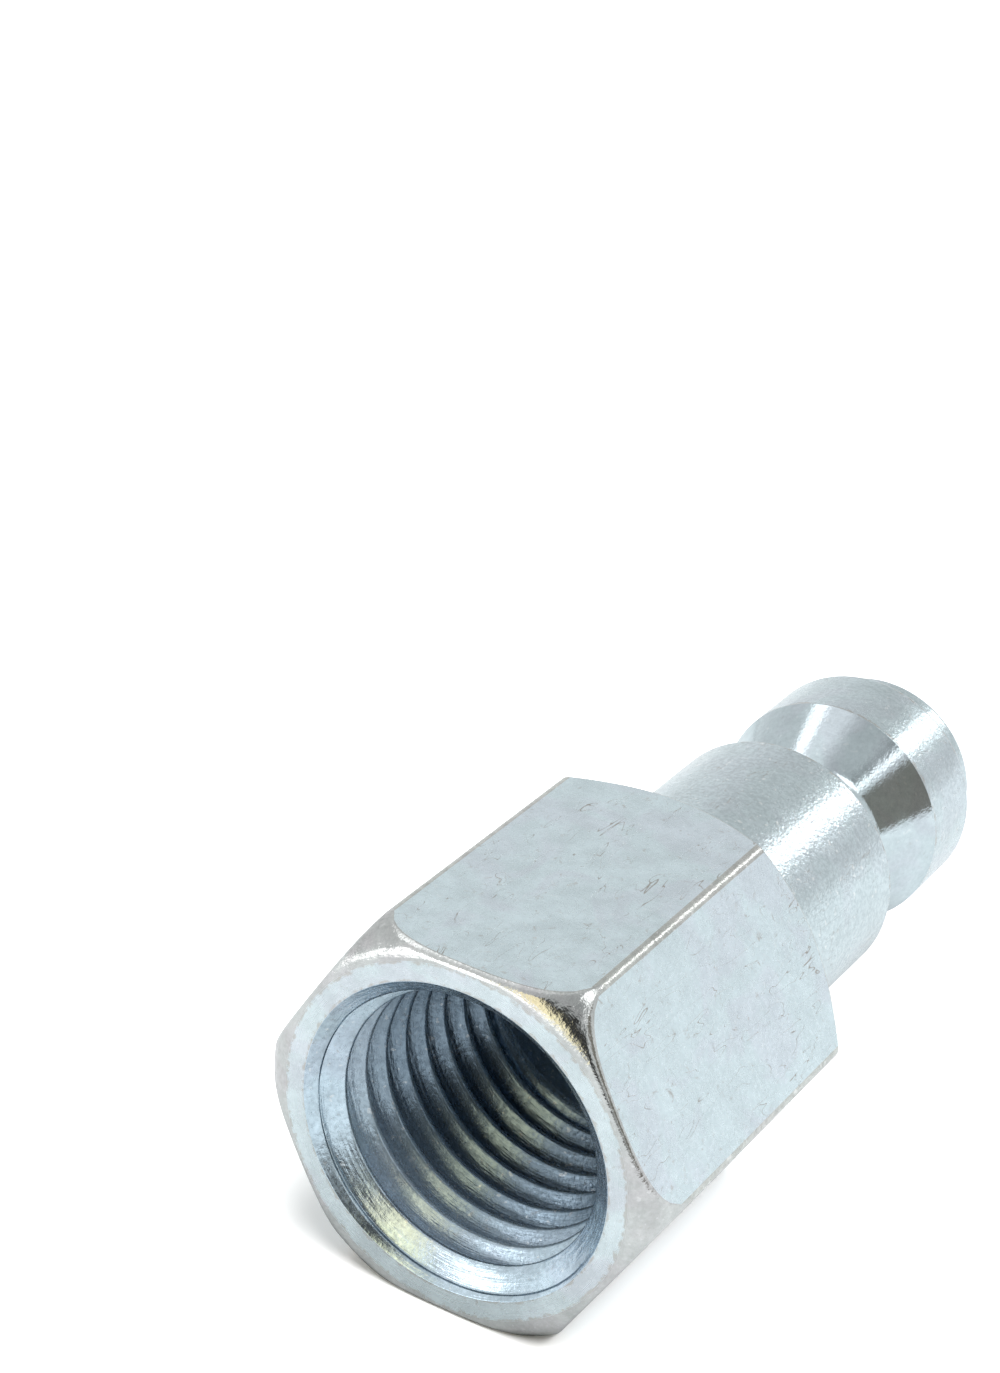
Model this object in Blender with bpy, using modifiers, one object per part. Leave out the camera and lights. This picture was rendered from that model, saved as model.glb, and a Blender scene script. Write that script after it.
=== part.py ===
"""Male quick-disconnect plug for compressed air, turned from one piece of hexagon bar.

The plug lies on one of its wrench flats. Its axis runs along +Y, from the threaded
socket at the -Y end to the nose at the +Y end, and +Z is up. The origin is at the
bottom centre of its bounding box. Units are metres.
"""
import math

import bmesh
import bpy
from mathutils import Matrix

MM = 0.001

# Driving dimensions, in millimetres. Heights are measured along the axis from the
# thread end face.
LENGTH = 38.0
HEX_ACROSS_FLATS = 16.0
HEX_EDGE_RADIUS = 0.4
HEX_TOP = 16.4             # turned face where the hexagon ends
HEX_TOP_RADIUS = 7.85      # outer edge of that turned face
END_FACE_RADIUS = 7.76     # outer edge of the thread end face
END_ROUND_WIDTH = 1.40     # radial size of the turned rounding at the thread end
END_ROUND_HEIGHT = 2.05

STEP_RADIUS = 6.3          # low ring at the foot of the shank
STEP_TOP = 17.0
SHANK_RADIUS = 5.76
SHOULDER_TOP = 27.15       # crease between the shank's rounded edge and the groove
SHOULDER_ROUND = 0.2
NECK_RADIUS = 3.9
NECK_HEIGHT = 29.6
GROOVE_RADIUS = 2.65       # concave sweep from the neck to the shoulder
COLLAR_RADIUS = 5.38
COLLAR_BACK = 32.55
COLLAR_FRONT = 36.2
COLLAR_ROUND = 0.2
TIP_RADIUS = 4.62
TIP_BACK = 36.45
TIP_NECK_RADIUS = 4.45     # shallow undercut behind the tip
TIP_ROUND = 0.35

AIR_BORE_RADIUS = 2.5
AIR_BORE_CHAMFER = 0.4

# Internal taper pipe thread, 1/4-18 NPT.
PITCH = 25.4 / 18
TAPER = 1 / 32             # radius lost for each millimetre of depth
CREST_RADIUS = 5.86        # at the mouth
THREAD_DEPTH = 0.90        # crest to root, both truncated
ROOT_FLAT = 0.06           # half width of the flat root
FLANK = math.tan(math.radians(30))
THREAD_LENGTH = 11.6
SOCKET_DEPTH = 13.6
DRILL_HALF_ANGLE = math.radians(59)
MOUTH_RADIUS = 6.9         # countersink at the mouth
MOUTH_DEPTH = 0.95

TURNED_STEPS = 48
THREAD_STEPS = 36
OVERSHOOT = 1.0            # how far each cutter runs past the wall it cuts
SECTION_OVERSHOOT = 0.12   # how far the thread cutter reaches inside the crests
MERGE = 0.00001

STEEL_COLOUR = (0.62, 0.66, 0.68, 1.0)
STEEL_ROUGHNESS = 0.34


def clear_scene():
    for obj in list(bpy.data.objects):
        bpy.data.objects.remove(obj, do_unlink=True)


def new_collection(name):
    collection = bpy.data.collections.new(name)
    bpy.context.scene.collection.children.link(collection)
    return collection


def arc(centre, radius, start, end, steps):
    """Points (r, z) along an arc, with angles in degrees from the +r direction."""
    points = []
    for i in range(steps + 1):
        angle = math.radians(start + (end - start) * i / steps)
        points.append((centre[0] + radius * math.cos(angle), centre[1] + radius * math.sin(angle)))
    return points


def thread_end_round(steps):
    """Elliptical rounding from beyond the hexagon's corners down to the end face."""
    points = []
    for i in range(steps + 1):
        angle = math.radians(90 * i / steps)
        radius = END_FACE_RADIUS + END_ROUND_WIDTH * math.cos(angle)
        points.append((radius, END_ROUND_HEIGHT * (1 - math.sin(angle))))
    return points


def outer_profile():
    """Turned outline (r, z) from the nose tip down to the thread end face."""
    beyond_corner = HEX_ACROSS_FLATS / math.sqrt(3) + 0.3
    tip_corner = (TIP_RADIUS - TIP_ROUND, LENGTH - TIP_ROUND)
    collar_corner = (COLLAR_RADIUS - COLLAR_ROUND, COLLAR_FRONT - COLLAR_ROUND)
    groove_centre = (NECK_RADIUS + GROOVE_RADIUS, NECK_HEIGHT)
    groove_sweep = math.degrees(math.asin((NECK_HEIGHT - SHOULDER_TOP) / GROOVE_RADIUS))
    shoulder_corner = (SHANK_RADIUS - SHOULDER_ROUND, SHOULDER_TOP - SHOULDER_ROUND)
    foot = STEP_RADIUS - SHANK_RADIUS
    points = [(0, LENGTH)]
    points += arc(tip_corner, TIP_ROUND, 90, 0, 3)
    points += [(TIP_RADIUS, TIP_BACK), (TIP_NECK_RADIUS, TIP_BACK), (TIP_NECK_RADIUS, COLLAR_FRONT)]
    points += arc(collar_corner, COLLAR_ROUND, 90, 0, 2)
    points += [(COLLAR_RADIUS, COLLAR_BACK)]
    points += arc(groove_centre, GROOVE_RADIUS, 180, 180 + groove_sweep, 7)
    points += arc(shoulder_corner, SHOULDER_ROUND, 90, 0, 2)[1:]
    points += arc((STEP_RADIUS, STEP_TOP + foot), foot, 180, 270, 3)
    points += [(STEP_RADIUS, HEX_TOP), (HEX_TOP_RADIUS, HEX_TOP)]
    points += [(beyond_corner, HEX_TOP - (beyond_corner - HEX_TOP_RADIUS))]
    points += [(beyond_corner, END_ROUND_HEIGHT + 0.6)]
    points += thread_end_round(6)
    points += [(0, 0)]
    return points


def bore_profile():
    """Outline (r, z) of everything drilled out, from past the nose to past the mouth."""
    bore_mouth = AIR_BORE_RADIUS + AIR_BORE_CHAMFER
    drill_radius = CREST_RADIUS - TAPER * SOCKET_DEPTH
    drill_point = (drill_radius - AIR_BORE_RADIUS) / math.tan(DRILL_HALF_ANGLE)
    inner_mouth = CREST_RADIUS - TAPER * MOUTH_DEPTH
    return [
        (0, LENGTH + OVERSHOOT),
        (bore_mouth, LENGTH + OVERSHOOT),
        (bore_mouth, LENGTH),
        (AIR_BORE_RADIUS, LENGTH - AIR_BORE_CHAMFER),
        (AIR_BORE_RADIUS, SOCKET_DEPTH + drill_point),
        (drill_radius, SOCKET_DEPTH),
        (inner_mouth, MOUTH_DEPTH),
        (MOUTH_RADIUS, 0),
        (MOUTH_RADIUS, -OVERSHOOT),
        (0, -OVERSHOOT),
    ]


def outline_object(name, points, collection, closed=False):
    """Edges through (r, z) points in the XZ plane, on the +X side."""
    mesh = bpy.data.meshes.new(name)
    shape = bmesh.new()
    verts = [shape.verts.new((r * MM, 0, z * MM)) for r, z in points]
    for a, b in zip(verts, verts[1:]):
        shape.edges.new((a, b))
    if closed:
        shape.edges.new((verts[-1], verts[0]))
    shape.to_mesh(mesh)
    shape.free()
    obj = bpy.data.objects.new(name, mesh)
    collection.objects.link(obj)
    return obj


def add_screw(obj, steps, rise=0.0, turns=1):
    screw = obj.modifiers.new("Turn", "SCREW")
    screw.axis = "Z"
    screw.steps = steps
    screw.render_steps = steps
    screw.screw_offset = rise
    screw.iterations = turns
    screw.use_merge_vertices = rise == 0.0
    screw.merge_threshold = MERGE
    screw.use_smooth_shade = False


def turned_object(name, points, collection):
    obj = outline_object(name, points, collection)
    add_screw(obj, TURNED_STEPS)
    return obj


def hexagon_bar(collection):
    """A length of hexagon bar with softened edges, flats facing +Y and -Y."""
    height = LENGTH + 2 * OVERSHOOT
    mesh = bpy.data.meshes.new("hexagon_bar")
    shape = bmesh.new()
    corner = HEX_ACROSS_FLATS / math.sqrt(3) * MM
    lift = Matrix.Translation((0, 0, LENGTH / 2 * MM))
    turn = Matrix.Rotation(math.radians(30), 4, "Z")
    bmesh.ops.create_cone(shape, cap_ends=True, segments=6, radius1=corner, radius2=corner,
                          depth=height * MM, matrix=lift @ turn)
    shape.to_mesh(mesh)
    shape.free()
    obj = bpy.data.objects.new("hexagon_bar", mesh)
    collection.objects.link(obj)
    bevel = obj.modifiers.new("Softened edges", "BEVEL")
    bevel.limit_method = "ANGLE"
    bevel.angle_limit = math.radians(40)
    bevel.width = HEX_EDGE_RADIUS * math.tan(math.radians(30)) * MM
    bevel.segments = 3
    return obj


def evaluated_copy(obj, collection):
    """Replace an object by the mesh that its modifiers make."""
    depsgraph = bpy.context.evaluated_depsgraph_get()
    mesh = bpy.data.meshes.new_from_object(obj.evaluated_get(depsgraph))
    name = obj.name
    bpy.data.objects.remove(obj, do_unlink=True)
    copy = bpy.data.objects.new(name, mesh)
    collection.objects.link(copy)
    return copy


def thread_cutter(collection):
    """Helical ridge that cuts the socket's thread groove, tapered to match the socket."""
    inner = CREST_RADIUS - SECTION_OVERSHOOT
    outer = CREST_RADIUS + THREAD_DEPTH
    half_width = ROOT_FLAT + (outer - inner) * FLANK
    start = -PITCH
    turns = math.ceil((THREAD_LENGTH - start) / PITCH)
    section = [
        (inner, start - half_width),
        (outer, start - ROOT_FLAT),
        (outer, start + ROOT_FLAT),
        (inner, start + half_width),
    ]
    obj = outline_object("thread_cutter", section, collection, closed=True)
    add_screw(obj, THREAD_STEPS, rise=PITCH * MM, turns=turns)
    bpy.context.view_layer.update()
    obj = evaluated_copy(obj, collection)
    shape = bmesh.new()
    shape.from_mesh(obj.data)
    bmesh.ops.holes_fill(shape, edges=[e for e in shape.edges if e.is_boundary])
    for vert in shape.verts:
        radius = vert.co.xy.length
        scale = (radius - TAPER * vert.co.z) / radius
        vert.co.x *= scale
        vert.co.y *= scale
    bmesh.ops.recalc_face_normals(shape, faces=shape.faces)
    shape.to_mesh(obj.data)
    shape.free()
    return obj


def add_boolean(obj, other, operation):
    boolean = obj.modifiers.new(other.name, "BOOLEAN")
    boolean.operation = operation
    boolean.solver = "EXACT"
    boolean.object = other
    other.hide_render = True
    other.display_type = "WIRE"


def steel_material():
    material = bpy.data.materials.new("zinc_plated_steel")
    material.use_nodes = True
    shader = material.node_tree.nodes["Principled BSDF"]
    shader.inputs["Base Color"].default_value = STEEL_COLOUR
    shader.inputs["Metallic"].default_value = 1.0
    shader.inputs["Roughness"].default_value = STEEL_ROUGHNESS
    return material


def lay_down(objects):
    """Turn the upright parts so the nose points along +Y and a flat rests at Z = 0."""
    lie = Matrix.Rotation(math.radians(-90), 4, "X")
    place = Matrix.Translation((0, -LENGTH / 2 * MM, HEX_ACROSS_FLATS / 2 * MM))
    for obj in objects:
        obj.matrix_world = place @ lie


def build():
    clear_scene()
    parts = new_collection("quick_disconnect_plug")
    cutters = new_collection("cutters")
    body = turned_object("plug_body", outer_profile(), parts)
    body.data.materials.append(steel_material())
    bar = hexagon_bar(cutters)
    bore = turned_object("bore_cutter", bore_profile(), cutters)
    thread = thread_cutter(cutters)
    add_boolean(body, bar, "INTERSECT")
    add_boolean(body, bore, "DIFFERENCE")
    add_boolean(body, thread, "DIFFERENCE")
    lay_down([body, bar, bore, thread])


build()
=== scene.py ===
import math

import bpy
import numpy as np
from mathutils import Matrix, Vector


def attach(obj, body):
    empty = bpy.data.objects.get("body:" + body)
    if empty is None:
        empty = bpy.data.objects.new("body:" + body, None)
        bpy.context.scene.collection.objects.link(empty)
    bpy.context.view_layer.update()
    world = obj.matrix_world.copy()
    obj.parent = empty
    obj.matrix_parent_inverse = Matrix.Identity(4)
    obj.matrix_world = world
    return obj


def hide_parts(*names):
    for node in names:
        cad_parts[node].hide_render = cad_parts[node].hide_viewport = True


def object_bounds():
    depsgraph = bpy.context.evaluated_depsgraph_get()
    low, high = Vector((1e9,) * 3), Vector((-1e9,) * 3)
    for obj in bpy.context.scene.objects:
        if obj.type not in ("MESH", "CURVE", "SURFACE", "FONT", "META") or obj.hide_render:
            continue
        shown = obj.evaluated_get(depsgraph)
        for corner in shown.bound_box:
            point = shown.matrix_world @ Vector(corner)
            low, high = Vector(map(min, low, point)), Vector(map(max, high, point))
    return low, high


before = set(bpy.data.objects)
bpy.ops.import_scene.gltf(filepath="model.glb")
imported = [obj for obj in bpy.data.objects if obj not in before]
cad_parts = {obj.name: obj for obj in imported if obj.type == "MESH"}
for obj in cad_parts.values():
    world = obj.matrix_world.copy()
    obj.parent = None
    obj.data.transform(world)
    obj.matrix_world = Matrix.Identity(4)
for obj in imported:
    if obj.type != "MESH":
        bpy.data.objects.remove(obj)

cad_lo, cad_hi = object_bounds()

MM = 0.001
TURN = 2 * math.pi
SECTOR = math.radians(60)
HALF_SECTOR = math.radians(30)

# Dimensions of the plug in millimetres, as in the CAD part. Heights run along the axis
# from the thread end face, and radii are measured from the axis.
LENGTH = (cad_hi.y - cad_lo.y) / MM
ACROSS_FLATS = (cad_hi.z - cad_lo.z) / MM
EDGE_RADIUS = 0.44
EDGE_CENTRE = (ACROSS_FLATS / 2 - EDGE_RADIUS) / math.cos(HALF_SECTOR)
HEX_TOP = 16.4
HEX_TOP_RADIUS = 7.85
END_FACE_RADIUS = 7.76
END_ROUND_WIDTH = 1.40
END_ROUND_HEIGHT = 2.05
STEP_RADIUS = 6.3
STEP_TOP = 17.0
STEP_TOP_WIDTH = 0.2
SHANK_RADIUS = 5.76
SHOULDER_TOP = 27.15
SHOULDER_ROUND = 0.2
NECK_RADIUS = 3.9
NECK_HEIGHT = 29.6
GROOVE_RADIUS = 2.65
COLLAR_RADIUS = 5.38
COLLAR_BACK = 32.55
COLLAR_FRONT = 36.2
COLLAR_ROUND = 0.2
TIP_RADIUS = 4.62
TIP_BACK = 36.45
TIP_BACK_SLOPE = 0.03
TIP_NECK_RADIUS = 4.45
TIP_ROUND = 0.35
AIR_BORE_RADIUS = 2.5
AIR_BORE_CHAMFER = 0.4
PITCH = 25.4 / 18
TAPER = 1 / 32
CREST_RADIUS = 5.86
THREAD_DEPTH = 0.90
THREAD_LENGTH = 11.6
THREAD_FADE = 1.0          # length over which the thread runs out
THREAD_FADE_END = THREAD_LENGTH + 0.6
THREAD_ROWS_END = THREAD_LENGTH + 1.0
SOCKET_DEPTH = 13.6
DRILL_HALF_ANGLE = math.radians(59)
MOUTH_RADIUS = 6.9
MOUTH_DEPTH = 0.95

# Small roundings of corners that are sharp in the CAD part.
BORE_EDGE_ROUND = 0.06
BORE_START_ROUND = 0.08
TIP_BACK_ROUND = 0.05
COLLAR_FACE_ROUND = 0.06
CONE_ROUND = 0.07
NECK_ROUND = 1.2
STEP_ROUND = 0.09
STEP_FOOT_ROUND = 0.08
HEX_FACE_ROUND = 0.07
HEX_CHAMFER_ROUND = 0.10
MOUTH_ROUND = 0.05
MOUTH_BLEND = 0.03
DRILL_ROUND = 0.15
ROUND_SHARE = 0.45         # the most that a rounding takes of the way to the next row
BLEND_REACH = 0.24         # how far the blend between rounding and flats runs up the flats

# How finely the mesh is divided.
EDGE_STEPS = 8             # columns of faces round each of the hexagon's edges
FLAT_STEPS = 14            # columns of faces from each edge to the middle of a flat
END_ROUND_STEPS = 12       # rows of faces on the rounding at the thread end
BLEND_SEARCH_STEPS = 200   # steps in the search for the blend's end on the rounding
GROOVE_STEPS = 16
NECK_JOIN = 5              # row of the groove's arc where the rounding of its neck ends
MERGE = 0.002              # thread rows this near to the first or last height join it

# Half of the thread's section, from the middle of the groove to the middle of the land:
# (distance along the axis, share of the full depth). Root and crest are slightly rounded.
THREAD_SECTION = [
    (0.00, 1.000), (0.03, 0.995), (0.06, 0.972), (0.09, 0.930), (0.15, 0.825),
    (0.22, 0.702), (0.29, 0.580), (0.36, 0.457), (0.43, 0.335), (0.49, 0.232),
    (0.53, 0.162), (0.56, 0.110), (0.59, 0.062), (0.62, 0.026), (0.66, 0.006),
]


# ---------------------------------------------------------------- shape of the plug

def column_angles():
    """Angle of every column of vertices about the axis, from +X towards -Z."""
    edge = []
    for turn in np.radians(np.linspace(-30, 30, EDGE_STEPS + 1)):
        across = EDGE_RADIUS * math.sin(turn)
        edge.append(math.atan2(across, EDGE_CENTRE + EDGE_RADIUS * math.cos(turn)))
    flat = np.linspace(edge[-1], HALF_SECTOR, FLAT_STEPS + 1)[1:]
    sector = np.concatenate([edge, flat, SECTOR - flat[-2::-1]])
    return np.concatenate([sector + SECTOR * k for k in range(6)])


ANGLES = column_angles()
COLUMNS = len(ANGLES)


def hexagon_radius():
    """Distance from the axis to the hexagon's surface at every column."""
    offset = (ANGLES + HALF_SECTOR) % SECTOR - HALF_SECTOR
    flat = ACROSS_FLATS / 2 / np.cos(HALF_SECTOR - np.abs(offset))
    inside = np.maximum(EDGE_RADIUS ** 2 - (EDGE_CENTRE * np.sin(offset)) ** 2, 0)
    rounded = EDGE_CENTRE * np.cos(offset) + np.sqrt(inside)
    limit = math.atan2(EDGE_RADIUS / 2, EDGE_CENTRE + EDGE_RADIUS * math.cos(HALF_SECTOR))
    return np.where(np.abs(offset) <= limit + 1e-9, rounded, flat)


def ring(radius, height):
    """One row of the surface: radius and height at every column."""
    row = np.zeros((COLUMNS, 2))
    row[:, 0] = radius
    row[:, 1] = height
    return row


def between(first, last, count):
    """Rows evenly spaced between two rows, without the two themselves."""
    return [first + (last - first) * i / (count + 1) for i in range(1, count + 1)]


def arc_rows(centre, radius, start, end, steps):
    """Rows on an arc about (radius, height), from one angle in degrees to another."""
    rows = []
    for i in range(steps + 1):
        angle = math.radians(start + (end - start) * i / steps)
        across, along = radius * math.cos(angle), radius * math.sin(angle)
        rows.append(ring(centre[0] + across, centre[1] + along))
    return rows


def blended(first, corner, last, steps):
    """Rows that round a corner from one given row to another."""
    rows = []
    for i in range(steps + 1):
        share = i / steps
        rows.append(first * (1 - share) ** 2 + corner * 2 * share * (1 - share) + last * share ** 2)
    return rows


def softened(before, corner, after, radius, steps=4):
    """Rows that round a corner by a radius, where before and after are the rows next to it."""
    back = before - corner
    on = after - corner
    back_length = np.linalg.norm(back, axis=1, keepdims=True)
    on_length = np.linalg.norm(on, axis=1, keepdims=True)
    cosine = np.sum(back * on, axis=1, keepdims=True) / (back_length * on_length)
    half_angle = np.arccos(np.clip(cosine, -1, 1)) / 2
    reach = radius / np.tan(half_angle)
    reach = np.minimum(reach, ROUND_SHARE * np.minimum(back_length, on_length))
    start = corner + back / back_length * reach
    end = corner + on / on_length * reach
    return blended(start, corner, end, steps)


class Surface:
    """Rows of the closed surface, each with the name of the finish that follows it."""

    def __init__(self):
        self.rows = []
        self.finishes = []

    def add(self, rows, finish, next_finish=None):
        """Adds rows. The last one can start the next finish instead of this one."""
        self.rows += rows
        self.finishes += [finish] * len(rows)
        if next_finish:
            self.finishes[-1] = next_finish


def round_row(angle):
    """Row on the turned rounding at the thread end, for an angle at every column."""
    row = ring(0, 0)
    row[:, 0] = END_FACE_RADIUS + END_ROUND_WIDTH * np.cos(angle)
    row[:, 1] = END_ROUND_HEIGHT * (1 - np.sin(angle))
    return row


def thread_end_rows(hexagon):
    """The rounding's crease with the hexagon, and its rows from the blend to the end face."""
    quarter = math.radians(90)
    reach = (hexagon - END_FACE_RADIUS) / END_ROUND_WIDTH
    start = np.arccos(np.clip(reach, 0, 1))
    previous = round_row(start)
    crease = previous.copy()
    crease[:, 0] = hexagon
    travelled = np.zeros(COLUMNS)
    blend = start.copy()
    for i in range(1, BLEND_SEARCH_STEPS):
        angle = start + (quarter - start) * i / BLEND_SEARCH_STEPS
        row = round_row(angle)
        travelled += np.linalg.norm(row - previous, axis=1)
        blend = np.where(travelled < BLEND_REACH, angle, blend)
        previous = row
    steps = END_ROUND_STEPS
    rows = [round_row(blend + (quarter - blend) * i / steps) for i in range(steps + 1)]
    return crease, rows


def add_nose(surface):
    """From the air bore's edge, over the tip and the collar, to the start of the groove."""
    bore_depth = ring(AIR_BORE_RADIUS, LENGTH - AIR_BORE_CHAMFER)
    bore_edge = ring(AIR_BORE_RADIUS + AIR_BORE_CHAMFER, LENGTH)
    tip_edge = ring(TIP_RADIUS, LENGTH)
    tip_back = ring(TIP_RADIUS, TIP_BACK)
    neck_back = ring(TIP_NECK_RADIUS, TIP_BACK - TIP_BACK_SLOPE)
    neck_front = ring(TIP_NECK_RADIUS, COLLAR_FRONT)
    collar_front = ring(COLLAR_RADIUS, COLLAR_FRONT)
    collar_back = ring(COLLAR_RADIUS, COLLAR_BACK)
    neck = ring(NECK_RADIUS, NECK_HEIGHT)
    surface.add(softened(bore_depth, bore_edge, tip_edge, BORE_EDGE_ROUND), "end")
    surface.add(softened(bore_edge, tip_edge, tip_back, TIP_ROUND, 7), "collar")
    surface.add(softened(tip_edge, tip_back, neck_back, TIP_BACK_ROUND, 3), "groove")
    surface.add(softened(tip_back, neck_back, neck_front, TIP_BACK_ROUND, 3), "groove")
    surface.add(softened(neck_back, neck_front, collar_front, COLLAR_FACE_ROUND, 3), "end")
    surface.add(softened(neck_front, collar_front, collar_back, COLLAR_ROUND, 6), "collar")
    surface.add(between(collar_front, collar_back, 6)[1:-1], "collar")
    surface.add(softened(collar_front, collar_back, neck, CONE_ROUND), "groove")
    surface.add(between(collar_back, neck, 6)[1:-1], "groove")
    return collar_back, neck


def add_shank(surface, collar_back, neck):
    """The groove's arc, the shoulder, the shank and the step, to the hexagon's front face."""
    centre = (NECK_RADIUS + GROOVE_RADIUS, NECK_HEIGHT)
    sweep = math.degrees(math.asin((NECK_HEIGHT - SHOULDER_TOP) / GROOVE_RADIUS))
    arc = arc_rows(centre, GROOVE_RADIUS, 180, 180 + sweep, GROOVE_STEPS)
    surface.add(softened(collar_back, neck, arc[NECK_JOIN], NECK_ROUND, 6), "groove")
    surface.add(arc[NECK_JOIN + 1:-1], "groove")
    surface.add([ring(arc[-1][0, 0], SHOULDER_TOP)], "groove")
    rounding = (SHANK_RADIUS - SHOULDER_ROUND, SHOULDER_TOP - SHOULDER_ROUND)
    surface.add(arc_rows(rounding, SHOULDER_ROUND, 80, 0, 6), "shank")

    foot = STEP_RADIUS - SHANK_RADIUS
    shank_top = ring(SHANK_RADIUS, SHOULDER_TOP - SHOULDER_ROUND)
    shank_foot = ring(SHANK_RADIUS, STEP_TOP + foot)
    step_inside = ring(STEP_RADIUS - STEP_TOP_WIDTH, STEP_TOP)
    step_top = ring(STEP_RADIUS, STEP_TOP)
    step_foot = ring(STEP_RADIUS, HEX_TOP)
    face_edge = ring(HEX_TOP_RADIUS, HEX_TOP)
    surface.add(between(shank_top, shank_foot, 8), "shank")
    surface.add(arc_rows((STEP_RADIUS, STEP_TOP + foot), foot, 180, 262, 8), "groove")
    surface.add(softened(step_inside, step_top, step_foot, STEP_ROUND), "groove")
    surface.add(softened(step_top, step_foot, face_edge, STEP_FOOT_ROUND), "end")
    surface.add(between(step_foot, face_edge, 3), "end")
    return step_foot, face_edge


def add_hexagon(surface, step_foot, face_edge):
    """The chamfer, the flats, the rounded thread end and its face, to the socket's mouth."""
    hexagon = hexagon_radius()
    flat_top = ring(0, 0)
    flat_top[:, 0] = hexagon
    flat_top[:, 1] = HEX_TOP - (hexagon - HEX_TOP_RADIUS)
    flat_foot, round_rows = thread_end_rows(hexagon)
    blend_top = flat_foot.copy()
    blend_top[:, 1] += BLEND_REACH
    surface.add(softened(step_foot, face_edge, flat_top, HEX_FACE_ROUND), "end")
    surface.add(softened(face_edge, flat_top, flat_foot, HEX_CHAMFER_ROUND), "crease", "flat")
    surface.add(between(flat_top, blend_top, 12)[1:-1], "flat")
    surface.add(blended(blend_top, flat_foot, round_rows[0], 7)[:-1], "round")
    surface.add(round_rows, "round", "end")

    end_face_edge = ring(END_FACE_RADIUS, 0)
    mouth = ring(MOUTH_RADIUS, 0)
    mouth_depth = ring(socket_radius(MOUTH_DEPTH, 0), MOUTH_DEPTH)
    surface.add(between(end_face_edge, mouth, 3), "end")
    surface.add(softened(end_face_edge, mouth, mouth_depth, MOUTH_ROUND), "socket")


def outer_surface():
    """From the air bore's edge at the tip, over the outside, to the socket's mouth."""
    surface = Surface()
    collar_back, neck = add_nose(surface)
    step_foot, face_edge = add_shank(surface, collar_back, neck)
    add_hexagon(surface, step_foot, face_edge)
    return surface


def countersink_radius(height):
    inner = CREST_RADIUS - TAPER * MOUTH_DEPTH
    return MOUTH_RADIUS - (MOUTH_RADIUS - inner) * height / MOUTH_DEPTH


def socket_radius(height, depth_share):
    """Radius of the socket at a height, for a share of the thread's depth."""
    fade = np.clip((THREAD_FADE_END - height) / THREAD_FADE, 0, 1)
    thread = CREST_RADIUS - TAPER * height + THREAD_DEPTH * depth_share * fade
    difference = (countersink_radius(height) - thread) / MOUTH_BLEND
    return thread + MOUTH_BLEND * np.logaddexp(0, difference)


def thread_rows(first_height, last_height):
    """Helical rows of the socket: heights and radii, and the number of rows in a turn."""
    offsets = [s for s, _ in THREAD_SECTION] + [PITCH / 2]
    shares = [d for _, d in THREAD_SECTION] + [0.0]
    offsets += [PITCH - s for s, _ in THREAD_SECTION[:0:-1]]
    shares += [d for _, d in THREAD_SECTION[:0:-1]]
    per_turn = len(offsets)
    turns = math.ceil((last_height + PITCH) / PITCH) + 1
    base = np.concatenate([np.array(offsets) + PITCH * (k - 1) for k in range(turns)])
    share = np.tile(shares, turns)
    heights = base[:, None] + PITCH * ANGLES[None, :] / TURN
    radii = socket_radius(np.clip(heights, first_height, last_height), share[:, None])
    return heights, radii, per_turn


def inner_surface():
    """From the end of the thread, through the drilled bottom and the air bore."""
    surface = Surface()
    drill = CREST_RADIUS - TAPER * SOCKET_DEPTH
    point = SOCKET_DEPTH + (drill - AIR_BORE_RADIUS) / math.tan(DRILL_HALF_ANGLE)
    wall = ring(CREST_RADIUS - TAPER * THREAD_ROWS_END, THREAD_ROWS_END)
    corner = ring(drill, SOCKET_DEPTH)
    bore = ring(AIR_BORE_RADIUS, point)
    bore_end = ring(AIR_BORE_RADIUS, LENGTH - AIR_BORE_CHAMFER)
    bore_mouth = ring(AIR_BORE_RADIUS + AIR_BORE_CHAMFER, LENGTH)
    surface.add(softened(wall, corner, bore, DRILL_ROUND), "socket", "bore")
    surface.add(softened(corner, bore, bore_end, BORE_START_ROUND), "bore")
    surface.add(between(bore, bore_end, 8), "bore")
    surface.add(softened(bore, bore_end, bore_mouth, BORE_EDGE_ROUND), "end")
    return surface


def to_points(rows):
    """(radius, height) rows to points in the row frame, in metres."""
    rows = np.asarray(rows)
    points = np.empty(rows.shape[:-1] + (3,))
    points[..., 0] = rows[..., 0] * np.cos(ANGLES)
    points[..., 1] = rows[..., 1] - LENGTH / 2
    points[..., 2] = ACROSS_FLATS / 2 - rows[..., 0] * np.sin(ANGLES)
    return points * MM


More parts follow.
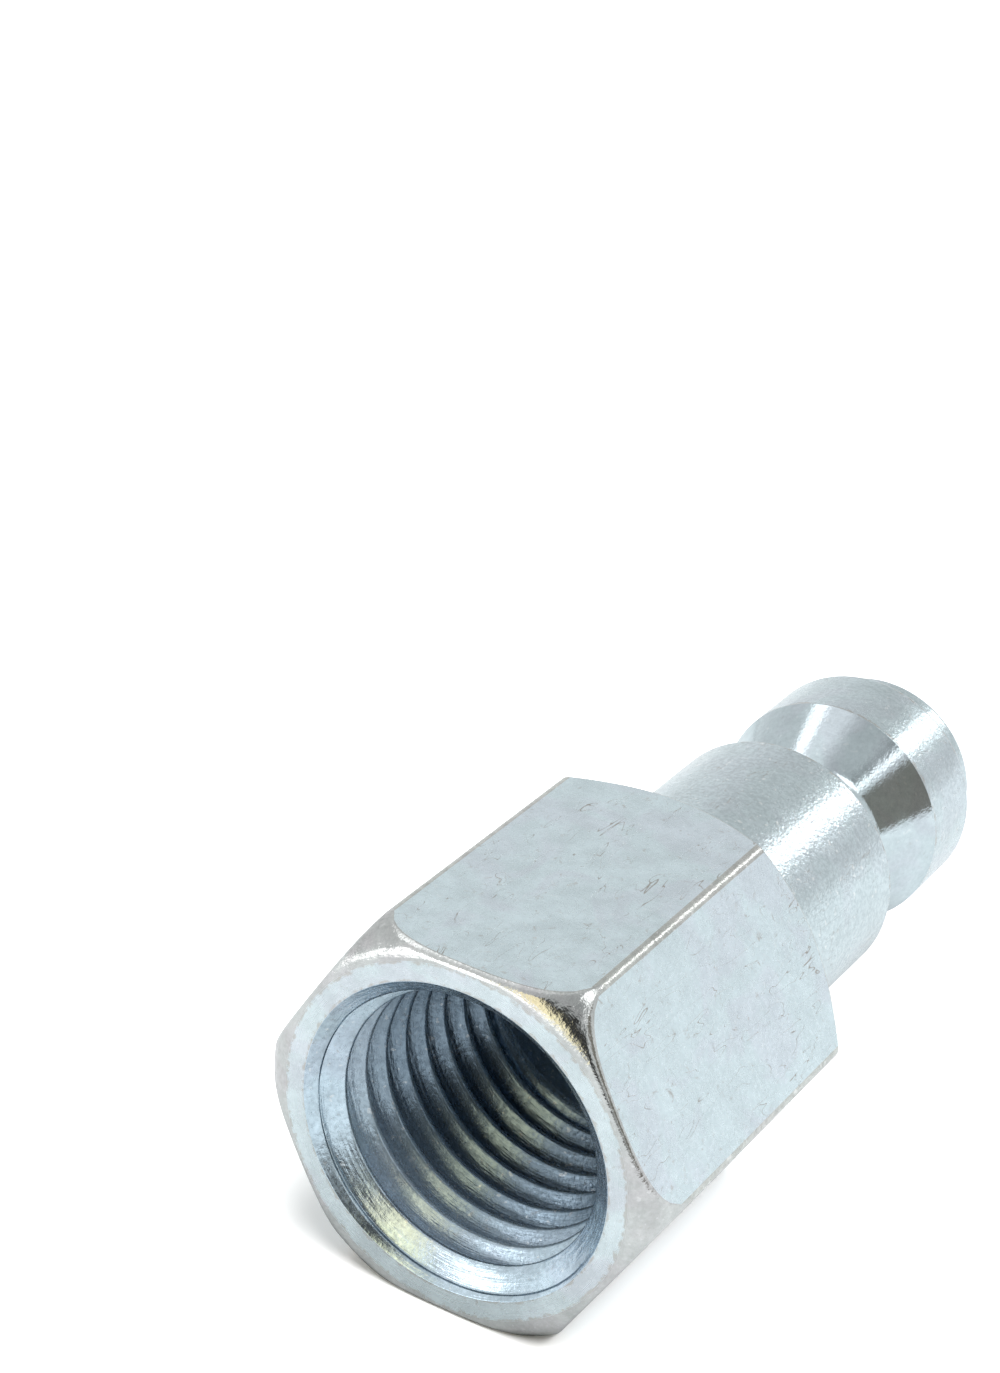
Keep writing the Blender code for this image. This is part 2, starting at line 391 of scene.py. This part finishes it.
def plug_mesh(finishes):
    """The whole plug as one closed mesh, with its finishes as material slots."""
    outer = outer_surface()
    first_height = outer.rows[-1][0, 1]
    last_height = THREAD_ROWS_END
    inner = inner_surface()
    heights, radii, per_turn = thread_rows(first_height, last_height)

    points = [to_points(outer.rows).reshape(-1, 3)]
    outer_index = np.arange(len(outer.rows) * COLUMNS).reshape(-1, COLUMNS)
    count = outer_index.size
    end_ring = ring(CREST_RADIUS - TAPER * last_height, last_height)
    end_index = np.arange(count, count + COLUMNS)
    points.append(to_points(end_ring))
    count += COLUMNS

    inside = (heights > first_height + MERGE) & (heights < last_height - MERGE)
    thread_index = np.where(heights <= first_height + MERGE, outer_index[-1], end_index)
    thread_index[inside] = count + np.arange(inside.sum())
    thread_points = to_points(np.stack([radii, heights], axis=-1))
    points.append(thread_points[inside])
    count += int(inside.sum())

    inner_index = count + np.arange(len(inner.rows) * COLUMNS).reshape(-1, COLUMNS)
    points.append(to_points(inner.rows).reshape(-1, 3))

    faces = []
    slots = []

    def band(upper, upper_next, lower, lower_next, finish):
        """A row of faces. Those that have shrunk to a line or a point are left out."""
        for column, quad in enumerate(zip(upper, upper_next, lower_next, lower)):
            corners = [v for i, v in enumerate(quad) if v != quad[i - 1]]
            if len(set(corners)) == len(corners) > 2:
                on_edge = finish == "flat" and column % (COLUMNS // 6) < EDGE_STEPS
                faces.append(corners)
                slots.append(finishes.index("crease" if on_edge else finish))

    for i in range(len(outer_index) - 1):
        upper, lower = outer_index[i], outer_index[i + 1]
        band(upper, np.roll(upper, -1), lower, np.roll(lower, -1), outer.finishes[i])
    last = len(thread_index) - 1
    for i in range(last):
        upper, lower = thread_index[i], thread_index[i + 1]
        upper_wrap = thread_index[min(i + per_turn, last), 0]
        lower_wrap = thread_index[min(i + 1 + per_turn, last), 0]
        upper_next = np.append(upper[1:], upper_wrap)
        lower_next = np.append(lower[1:], lower_wrap)
        band(upper, upper_next, lower, lower_next, "socket")
    chain = [end_index] + list(inner_index) + [outer_index[0]]
    for i, finish in enumerate(["socket"] + inner.finishes):
        upper, lower = chain[i], chain[i + 1]
        band(upper, np.roll(upper, -1), lower, np.roll(lower, -1), finish)

    points = np.concatenate(points)
    mesh = bpy.data.meshes.new("plated_body")
    mesh.from_pydata(points.tolist(), [], faces)
    mesh.polygons.foreach_set("material_index", slots)
    mesh.validate()
    mesh.update()
    return mesh


def face_outwards(mesh):
    """Turns every face outwards and shades the mesh by area-weighted normals."""
    mesh.calc_loop_triangles()
    points = np.empty(len(mesh.vertices) * 3)
    mesh.vertices.foreach_get("co", points)
    points = points.reshape(-1, 3)
    triangles = np.empty(len(mesh.loop_triangles) * 3, dtype=int)
    mesh.loop_triangles.foreach_get("vertices", triangles)
    corner = points[triangles.reshape(-1, 3)]
    volume = np.sum(corner[:, 0] * np.cross(corner[:, 1], corner[:, 2]))
    if volume < 0:
        mesh.flip_normals()
    normals = np.zeros_like(points)
    for face in mesh.polygons:
        normals[list(face.vertices)] += np.array(face.normal) * face.area
    normals /= np.linalg.norm(normals, axis=1, keepdims=True)
    mesh.shade_smooth()
    mesh.normals_split_custom_set_from_vertices(normals.tolist())


# ---------------------------------------------------------------- finishes

class Graph:
    """Shorthand for building a node tree."""

    def __init__(self, tree):
        self.tree = tree

    def node(self, kind, **inputs):
        made = self.tree.nodes.new(kind)
        for name, value in inputs.items():
            self.put(made.inputs[name], value)
        return made

    def put(self, socket, value):
        if isinstance(value, bpy.types.NodeSocket):
            self.tree.links.new(value, socket)
        else:
            socket.default_value = value

    def maths(self, operation, *values):
        made = self.tree.nodes.new("ShaderNodeMath")
        made.operation = operation
        for socket, value in zip(made.inputs, values):
            self.put(socket, value)
        return made.outputs[0]

    def ramp(self, value, low, high, to_low=0.0, to_high=1.0):
        """A smooth step between two values."""
        made = self.tree.nodes.new("ShaderNodeMapRange")
        made.interpolation_type = "SMOOTHSTEP"
        for name, item in (("Value", value), ("From Min", low), ("From Max", high),
                           ("To Min", to_low), ("To Max", to_high)):
            self.put(made.inputs[name], item)
        return made.outputs["Result"]

    def mix(self, share, first, second):
        """A mix of two colours, for which the node has inputs 6 and 7 and output 2."""
        made = self.tree.nodes.new("ShaderNodeMix")
        made.data_type = "RGBA"
        self.put(made.inputs[0], share)
        self.put(made.inputs[6], first)
        self.put(made.inputs[7], second)
        return made.outputs[2]

    def vector(self, x, y, z):
        return self.node("ShaderNodeCombineXYZ", X=x, Y=y, Z=z).outputs[0]

    def noise(self, where, scale, detail=2.0, roughness=0.5, distortion=0.0):
        made = self.node("ShaderNodeTexNoise", Vector=where, Scale=scale, Detail=detail,
                         Roughness=roughness, Distortion=distortion)
        return made.outputs["Fac"]

    def dot(self, vector, direction):
        made = self.tree.nodes.new("ShaderNodeVectorMath")
        made.operation = "DOT_PRODUCT"
        self.put(made.inputs[0], vector)
        self.put(made.inputs[1], direction)
        return made.outputs["Value"]


def plug_coordinates(graph):
    """Place on the plug in millimetres: (x, height, z) from the axis, radius, height, turn."""
    where = graph.node("ShaderNodeTexCoord").outputs["Object"]
    parts = graph.node("ShaderNodeSeparateXYZ", Vector=where).outputs
    x = graph.maths("MULTIPLY", parts[0], 1 / MM)
    height = graph.maths("MULTIPLY_ADD", parts[1], 1 / MM, LENGTH / 2)
    z = graph.maths("MULTIPLY_ADD", parts[2], 1 / MM, -ACROSS_FLATS / 2)
    squares = graph.maths("MULTIPLY_ADD", z, z, graph.maths("MULTIPLY", x, x))
    radius = graph.maths("SQRT", squares)
    turn = graph.maths("ARCTAN2", z, x)
    return graph.vector(x, height, z), radius, height, turn


def opaque(colour, factor=1.0):
    """A metal's colour with its alpha, made darker or lighter by a factor."""
    return tuple(min(c * factor, 1.0) for c in colour) + (1.0,)


TURNED = (0.575, 0.665, 0.70)
VIOLET_CAST = (1.0, 0.945, 0.975)
GLINT = (0.93, 0.95, 0.95, 1.0)
STAIN = (0.36, 0.29, 0.24, 1.0)
SCRATCH = (0.34, 0.31, 0.28, 1.0)
WORN = (0.40, 0.345, 0.29, 1.0)


class Plating:
    """Builds the nodes of one zinc-plated finish.

    Depths are in millimetres, and scales in features per millimetre.
    """

    def __init__(self, tree, tint, rough):
        self.graph = graph = Graph(tree)
        self.shader = tree.nodes["Principled BSDF"]
        self.tint = tint
        self.place, self.radius, self.height, self.turn = plug_coordinates(graph)
        self.clouds = graph.noise(self.place, scale=0.75, detail=4.0, roughness=0.62)
        self.colour = None
        self.roughness = graph.ramp(self.clouds, 0.3, 0.7, rough * 0.88, rough * 1.14)
        self.heights = []

    def raise_by(self, pattern, depth):
        self.heights.append(self.graph.maths("MULTIPLY", pattern, depth))

    def scale_roughness(self, factor):
        self.roughness = self.graph.maths("MULTIPLY", self.roughness, factor)

    def roughen(self, share, amount):
        added = self.graph.maths("MULTIPLY", share, amount)
        self.roughness = self.graph.maths("ADD", self.roughness, added)

    def along(self, kind):
        return self.radius if kind == "radius" else self.height

    def mottle(self, cloud):
        """Lighter and darker clouds, fine specks, and patches with a faint violet cast."""
        graph = self.graph
        speck = graph.noise(self.place, scale=5.5, detail=2.0, roughness=0.6)
        clouds = graph.maths("MULTIPLY", self.clouds, 0.75)
        share = graph.ramp(graph.maths("MULTIPLY_ADD", speck, 0.35, clouds), 0.35, 0.75)
        dark = opaque(self.tint, 1 - 2.2 * cloud)
        light = opaque(self.tint, 1 + 1.6 * cloud)
        plain = graph.mix(share, dark, light)
        violet_dark = opaque(c * k for c, k in zip(dark, VIOLET_CAST))
        violet_light = opaque(c * k for c, k in zip(light, VIOLET_CAST))
        violet = graph.mix(share, violet_dark, violet_light)
        patches = graph.noise(self.place, scale=0.3, detail=2.0, roughness=0.6, distortion=0.8)
        self.colour = graph.mix(graph.ramp(patches, 0.46, 0.60, 0.0, 0.8), plain, violet)

    def paint_shade_inwards(self, painted_shade, metallic):
        """Painted shade: the socket's colour darkens with depth, and it gets less metallic. Its
        countersink stays bright.
        """
        graph = self.graph
        # Painted shade: from 0.4 to 5.5 mm into the socket the colour turns to the dark shade
        # colour.
        self.colour = graph.mix(graph.ramp(self.height, 0.4, 5.5), self.colour, opaque(painted_shade))
        fall = graph.ramp(self.height, 0.7, 2.6, 0.95, metallic)
        graph.put(self.shader.inputs["Metallic"], fall)

    def turning_marks(self, kind, depth, scale):
        graph = self.graph
        across = graph.maths("MULTIPLY", self.turn, 0.35)
        where = graph.vector(self.along(kind), across, 0.0)
        lines = graph.noise(where, scale=scale, detail=3.0, roughness=0.65)
        self.raise_by(lines, depth)
        share = graph.ramp(lines, 0.62, 0.8, 0.0, 0.18)
        self.colour = graph.mix(share, self.colour, opaque(self.tint, 0.7))
        self.scale_roughness(graph.ramp(lines, 0.3, 0.7, 0.85, 1.2))

    def grains(self, depth, scale, sand):
        """Fine bumps. With sand they also show as dull and pale dots, with a few glints."""
        graph = self.graph
        grains = graph.noise(self.place, scale=scale, detail=2.0, roughness=0.7)
        self.raise_by(grains, depth)
        if not sand:
            return
        dull, pale = opaque(self.tint, 0.84), opaque(self.tint, 1.12)
        dots = graph.mix(graph.ramp(grains, 0.38, 0.62), dull, pale)
        self.colour = graph.mix(sand, self.colour, dots)
        glints = graph.noise(self.place, scale=scale * 0.8, detail=1.0, roughness=0.5)
        share = graph.ramp(glints, 0.68, 0.74, 0.0, 0.9 * sand)
        self.colour = graph.mix(share, self.colour, GLINT)
        self.scale_roughness(graph.ramp(grains, 0.35, 0.65, 1.25, 0.8))

    def dents(self, depth):
        self.raise_by(self.graph.noise(self.place, scale=1.1, detail=2.0, roughness=0.5), depth)

    def stains(self, amount):
        """Brownish specks, in groups."""
        graph = self.graph
        spots = graph.noise(self.place, scale=1.9, detail=4.0, roughness=0.72, distortion=0.6)
        share = graph.ramp(spots, 0.64 - 0.05 * amount, 0.75, 0.0, 0.5 * amount)
        self.colour = graph.mix(share, self.colour, STAIN)
        self.roughen(share, 0.25)

    def hairlines(self, amount):
        """Thin wandering scratches, in patches and mostly along the plug."""
        graph = self.graph
        stretched = graph.vector(graph.maths("MULTIPLY", self.radius, 0.9),
                                 graph.maths("MULTIPLY", self.height, 0.16),
                                 graph.maths("MULTIPLY", self.turn, 6.0))
        wander = graph.noise(stretched, scale=1.5, detail=2.0, roughness=0.5, distortion=0.9)
        away = graph.maths("ABSOLUTE", graph.maths("SUBTRACT", wander, 0.5))
        line = graph.ramp(away, 0.0, 0.006, 1.0, 0.0)
        patches = graph.noise(self.place, scale=0.6, detail=1.0)
        line = graph.maths("MULTIPLY", line, graph.ramp(patches, 0.44, 0.56, 0.0, 0.9))
        line = graph.maths("MULTIPLY", line, amount)
        self.colour = graph.mix(line, self.colour, SCRATCH)
        self.raise_by(line, -0.004)

    def worn_edge(self, kind, value):
        """A ragged brownish line along an edge, at a radius or a height."""
        graph = self.graph
        away = graph.maths("ABSOLUTE", graph.maths("SUBTRACT", self.along(kind), value))
        ragged = graph.noise(self.place, scale=2.4, detail=3.0, roughness=0.65)
        ragged = graph.maths("MULTIPLY_ADD", ragged, 0.7, -0.31)
        share = graph.ramp(graph.maths("SUBTRACT", away, ragged), -0.07, 0.05, 0.5, 0.0)
        self.colour = graph.mix(share, self.colour, WORN)
        self.roughen(share, 0.15)

    def connect(self):
        graph = self.graph
        graph.put(self.shader.inputs["Base Color"], self.colour)
        graph.put(self.shader.inputs["Roughness"], self.roughness)
        total = self.heights[0]
        for item in self.heights[1:]:
            total = graph.maths("ADD", total, item)
        bump = graph.node("ShaderNodeBump", Strength=1.0, Distance=MM, Height=total)
        graph.put(self.shader.inputs["Normal"], bump.outputs["Normal"])


def plated(name, tint, rough, cloud=0.05, metallic=1.0, painted_shade=None, rings=None, ring_depth=0.0,
           ring_scale=7.0, grain=0.0, grain_scale=5.0, sand=0.0, dent=0.0, stain=0.0,
           hairline=0.0, worn=()):
    """Zinc-plated steel with a finish from FINISHES.

    rings says whether the turning marks follow the "radius" or the "height". worn lists
    edges as one of those words and its value.
    """
    material = bpy.data.materials.new(name)
    material.use_nodes = True
    plating = Plating(material.node_tree, tint, rough)
    plating.shader.inputs["Metallic"].default_value = metallic
    plating.mottle(cloud)
    # Painted shade inside the socket, when a shade colour is given.
    if painted_shade:
        plating.paint_shade_inwards(painted_shade, metallic)
    if rings:
        plating.turning_marks(rings, ring_depth, ring_scale)
    if grain:
        plating.grains(grain, grain_scale, sand)
    if dent:
        plating.dents(dent)
    if stain:
        plating.stains(stain)
    if hairline:
        plating.hairlines(hairline)
    for kind, value in worn:
        plating.worn_edge(kind, value)
    plating.connect()
    return material


FINISHES = {
    "flat": dict(tint=(0.68, 0.79, 0.835), rough=0.29, cloud=0.04, grain=0.0026,
                 grain_scale=4.5, sand=0.14, dent=0.0015, stain=1.1, hairline=1.0),
    "crease": dict(tint=(0.56, 0.58, 0.56), rough=0.24, cloud=0.12, grain=0.022,
                   grain_scale=3.6, sand=0.5, stain=1.1),
    "end": dict(tint=(0.63, 0.715, 0.745), rough=0.26, rings="radius", ring_depth=0.0014,
                ring_scale=8.0, stain=0.9, worn=(("radius", 7.72), ("radius", 6.93))),
    "round": dict(tint=(0.56, 0.58, 0.575), rough=0.15, cloud=0.08, rings="radius",
                  ring_depth=0.013, grain=0.018, sand=0.25, stain=0.6),
    "shank": dict(tint=TURNED, rough=0.20, grain=0.021, sand=0.55, stain=0.6, hairline=0.6,
                  worn=(("height", 27.02),)),
    "groove": dict(tint=TURNED, rough=0.11, rings="height", ring_depth=0.0045, grain=0.008,
                   grain_scale=4.5, sand=0.2, stain=0.4),
    "collar": dict(tint=TURNED, rough=0.21, grain=0.016, sand=0.38, stain=0.6, hairline=0.4,
                   worn=(("height", 32.62), ("height", 36.12))),
    # The socket's dark colour deep inside is painted shade.
    "socket": dict(tint=(0.53, 0.65, 0.735), rough=0.21, cloud=0.14, metallic=0.6,
                   painted_shade=(0.078, 0.142, 0.222), rings="radius", ring_depth=0.020,
                   grain=0.012, grain_scale=4.5, sand=0.35, stain=0.8),
    "bore": dict(tint=(0.31, 0.42, 0.57), rough=0.42, cloud=0.14, metallic=0.35,
                 rings="radius", ring_depth=0.004, ring_scale=9.0, grain=0.008),
}


# ---------------------------------------------------------------- studio

def direction(azimuth, elevation):
    """The direction at an azimuth in degrees, from -Y towards +X, and an elevation."""
    a, e = math.radians(azimuth), math.radians(elevation)
    return Vector((math.sin(a) * math.cos(e), -math.cos(a) * math.cos(e), math.sin(e)))


def sideways(azimuth):
    """The level direction a quarter turn on from an azimuth."""
    a = math.radians(azimuth)
    return Vector((math.cos(a), math.sin(a), 0))


def card(graph, outward, azimuth, elevation, half_width, half_height, soft):
    """Mask of a rectangular card that hangs in a direction. Sizes are angles in degrees."""
    centre = direction(azimuth, elevation)
    right = sideways(azimuth)
    up = centre.cross(right)
    ahead = graph.dot(outward, centre)
    smallest = 0.05
    mask = graph.maths("GREATER_THAN", ahead, smallest)
    safe = graph.maths("MAXIMUM", ahead, smallest)
    for axis, half in ((right, half_width), (up, half_height)):
        offset = graph.maths("ABSOLUTE", graph.maths("DIVIDE", graph.dot(outward, axis), safe))
        inner = math.tan(math.radians(max(half - soft, 0.1)))
        outer = math.tan(math.radians(min(half + soft, 85)))
        mask = graph.maths("MULTIPLY", mask, graph.ramp(offset, inner, outer, 1.0, 0.0))
    return mask


# (azimuth, elevation, half width, half height, softness, colour): white tent panels, the
# strip lamp and the darker side of the room.
CARDS = [
    (178, 42, 26, 12, 12, (0.66, 0.67, 0.66)),
    (143, 11, 12, 4, 2.5, (0.73, 0.74, 0.74)),
    (100, 78, 40, 14, 8, (0.60, 0.61, 0.61)),
    (97, 62, 30, 5, 3, (0.44, 0.45, 0.45)),
    (138, 56, 14, 9, 3, (2.2, 2.2, 2.2)),
    (-112, 22, 24, 14, 6, (0.78, 0.79, 0.79)),
    (-108, 66, 26, 12, 8, (1.05, 1.06, 1.06)),
    (-105, 52, 24, 6, 1.5, (1.9, 1.9, 1.9)),
    (-46, 37, 12, 20, 5, (0.98, 0.98, 0.98)),
    (-34, 6, 12, 11, 3, (3.6, 3.6, 3.6)),
    (48, 4, 26, 9, 5, (0.36, 0.36, 0.35)),
    (25, 26, 17, 26, 5, (0.04, 0.04, 0.04)),
    (-4, 19, 10, 20, 4, (1.75, 1.56, 1.0)),
    (94, 24, 16, 21, 1.2, (0.27, 0.255, 0.225)),
    (94, 53.5, 16, 2.6, 1.2, (1.9, 1.9, 1.9)),
    (158, 29, 4.2, 7, 1.5, (4.5, 4.5, 4.5)),
]


TENT_LOW = (0.92, 0.93, 0.93, 1.0)
TENT_HIGH = (0.74, 0.75, 0.75, 1.0)
BACKDROP = (1.1, 1.1, 1.1, 1.0)
FLOOR_WHITE = (0.95, 0.95, 0.95, 1.0)
FLOOR_GREY = (0.42, 0.43, 0.435, 1.0)
FLOOR_HALF = 1.2               # metres

LAMP_SIZE = 1.1                # metres
LAMP_PLACE = (0.30, 0.02, 0.88)
LAMP_WATTS = 22.0

# The camera's angles are in degrees and its lengths in millimetres.
VIEW_AZIMUTH = 29.37
VIEW_ELEVATION = 27.68
VIEW_ROLL = 4.77
VIEW_TARGET = (-18.34, 14.37, 8.0)
VIEW_DISTANCE = 159.57
LENS = 85.8
SENSOR_WIDTH = 36.0


def make_world():
    """The tent as the metal sees it, and a plain white backdrop for the camera."""
    world = bpy.data.worlds.new("studio_tent")
    world.use_nodes = True
    tree = world.node_tree
    graph = Graph(tree)
    outward = graph.node("ShaderNodeTexCoord").outputs["Generated"]
    height = graph.node("ShaderNodeSeparateXYZ", Vector=outward).outputs[2]
    colour = graph.mix(graph.ramp(height, 0.0, 0.9), TENT_LOW, TENT_HIGH)
    for *place, tone in CARDS:
        colour = graph.mix(card(graph, outward, *place), colour, tone + (1.0,))
    seen = graph.node("ShaderNodeLightPath").outputs["Is Camera Ray"]
    colour = graph.mix(seen, colour, BACKDROP)
    graph.put(tree.nodes["Background"].inputs["Color"], colour)
    bpy.context.scene.world = world


def make_floor():
    """A floor that is white to the camera. The metal sees it grey, but white towards -X, -Y."""
    half = FLOOR_HALF
    mesh = bpy.data.meshes.new("floor")
    corners = [(-half, -half, 0), (half, -half, 0), (half, half, 0), (-half, half, 0)]
    mesh.from_pydata(corners, [], [(0, 1, 2, 3)])
    floor = bpy.data.objects.new("floor", mesh)
    bpy.context.scene.collection.objects.link(floor)
    material = bpy.data.materials.new("white_card")
    material.use_nodes = True
    graph = Graph(material.node_tree)
    shader = material.node_tree.nodes["Principled BSDF"]
    seen = graph.node("ShaderNodeLightPath").outputs["Is Camera Ray"]
    where = graph.node("ShaderNodeTexCoord").outputs["Object"]
    place = graph.node("ShaderNodeSeparateXYZ", Vector=where).outputs
    grey_share = graph.maths("MAXIMUM", graph.ramp(place[1], -0.10, -0.065),
                             graph.ramp(place[0], -0.030, 0.0))
    reflected = graph.mix(grey_share, FLOOR_WHITE, FLOOR_GREY)
    graph.put(shader.inputs["Base Color"], graph.mix(seen, reflected, FLOOR_WHITE))
    shader.inputs["Roughness"].default_value = 0.9
    shader.inputs["Specular IOR Level"].default_value = 0.0
    mesh.materials.append(material)


def make_light():
    """A large soft lamp that lights the white floor from one side, not seen in the metal."""
    lamp = bpy.data.lights.new("floor_lamp", "AREA")
    lamp.shape = "DISK"
    lamp.size = LAMP_SIZE
    lamp.energy = LAMP_WATTS
    holder = bpy.data.objects.new("floor_lamp", lamp)
    holder.location = LAMP_PLACE
    holder.rotation_mode = "QUATERNION"
    holder.rotation_quaternion = holder.location.to_track_quat("Z", "Y")
    bpy.context.scene.collection.objects.link(holder)
    holder.visible_glossy = False
    holder.visible_camera = False


def make_camera():
    data = bpy.data.cameras.new("camera")
    camera = bpy.data.objects.new("camera", data)
    bpy.context.scene.collection.objects.link(camera)
    roll = math.radians(VIEW_ROLL)
    back = direction(VIEW_AZIMUTH, VIEW_ELEVATION)
    level = sideways(VIEW_AZIMUTH)
    above = back.cross(level)
    right = level * math.cos(roll) + above * math.sin(roll)
    up = above * math.cos(roll) - level * math.sin(roll)
    turned = Matrix((right, up, back)).transposed().to_4x4()
    place = Vector(VIEW_TARGET) * MM + back * (VIEW_DISTANCE * MM)
    camera.matrix_world = Matrix.Translation(place) @ turned
    data.sensor_width = SENSOR_WIDTH
    data.lens = LENS
    data.clip_start = 0.01
    data.clip_end = 5.0
    bpy.context.scene.camera = camera


def main():
    scene = bpy.context.scene
    scene.view_settings.view_transform = "Standard"
    names = list(FINISHES)
    mesh = plug_mesh(names)
    for name in names:
        mesh.materials.append(plated("zinc_" + name, **FINISHES[name]))
    face_outwards(mesh)
    body = bpy.data.objects.new("plated_body", mesh)
    scene.collection.objects.link(body)
    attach(body, "root")
    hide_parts("plug_body")
    make_floor()
    make_light()
    make_world()
    make_camera()


main()
